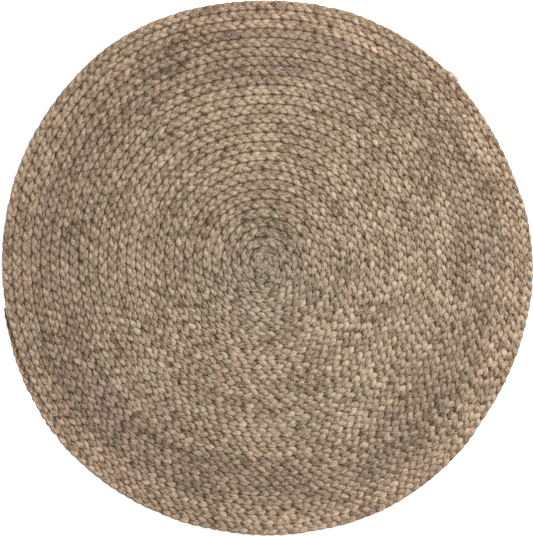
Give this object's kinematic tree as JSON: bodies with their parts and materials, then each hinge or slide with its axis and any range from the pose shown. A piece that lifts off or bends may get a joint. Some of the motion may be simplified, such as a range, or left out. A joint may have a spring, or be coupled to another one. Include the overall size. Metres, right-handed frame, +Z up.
{
  "type": "round braided rug",
  "caption": "Round flat rug made of one three-strand jute braid wound in a spiral from the centre, its edges laced together, with a tail that thins into the rim.",
  "frame": {"origin": "centre of the rug's bounding box, on the floor plane under the rug", "axes": "+Z up out of the upper face, +X to the right and +Y away as the rug is seen from above. The braid winds outward clockwise from above, and its tail ends 192 degrees counter-clockwise from +X."},
  "size_m": [0.892, 0.9, 0.01],
  "materials": {
    "jute_centre": "matte natural jute, greyish",
    "jute_field": "matte natural jute, olive beige",
    "jute_mauve_band": "matte natural jute, darker grey mauve",
    "jute_rim": "matte natural jute, warm tan",
    "lacing_thread": "matte brown twine"
  },
  "bodies": {
    "root": {"braid_centre_start": "jute_centre", "braid_turn_01": "jute_centre", "braid_turn_02": "jute_field", "braid_turn_03": "jute_field", "braid_turn_04": "jute_field", "braid_turn_05": "jute_field", "braid_turn_06": "jute_field", "braid_turn_07": "jute_field", "braid_turn_08": "jute_field", "braid_turn_09": "jute_field", "braid_turn_10": "jute_field", "braid_turn_11": "jute_field", "braid_turn_12": "jute_field", "braid_turn_13": "jute_field", "braid_turn_14": "jute_field", "braid_turn_15": "jute_field", "braid_turn_16": "jute_field", "braid_turn_17": "jute_field", "braid_turn_18": "jute_field", "braid_turn_19": "jute_field", "braid_turn_20": "jute_mauve_band", "braid_turn_21": "jute_mauve_band", "braid_turn_22": "jute_mauve_band", "braid_turn_23": "jute_mauve_band", "braid_turn_24": "jute_mauve_band", "braid_turn_25": "jute_rim", "braid_turn_26": "jute_rim", "braid_turn_27": "jute_rim", "braid_tail": "jute_rim", "lacing_thread_01": "lacing_thread", "lacing_thread_02": "lacing_thread", "lacing_thread_03": "lacing_thread", "lacing_thread_04": "lacing_thread", "lacing_thread_05": "lacing_thread", "lacing_thread_06": "lacing_thread", "lacing_thread_07": "lacing_thread", "lacing_thread_08": "lacing_thread", "lacing_thread_09": "lacing_thread", "lacing_thread_10": "lacing_thread", "lacing_thread_11": "lacing_thread", "lacing_thread_12": "lacing_thread", "lacing_thread_13": "lacing_thread", "lacing_thread_14": "lacing_thread", "lacing_thread_15": "lacing_thread", "lacing_thread_16": "lacing_thread", "lacing_thread_17": "lacing_thread", "lacing_thread_18": "lacing_thread", "lacing_thread_19": "lacing_thread", "lacing_thread_20": "lacing_thread", "lacing_thread_21": "lacing_thread", "lacing_thread_22": "lacing_thread", "lacing_thread_23": "lacing_thread", "lacing_thread_24": "lacing_thread", "lacing_thread_25": "lacing_thread", "lacing_thread_26": "lacing_thread", "lacing_thread_27": "lacing_thread"}
  },
  "joints": []
}
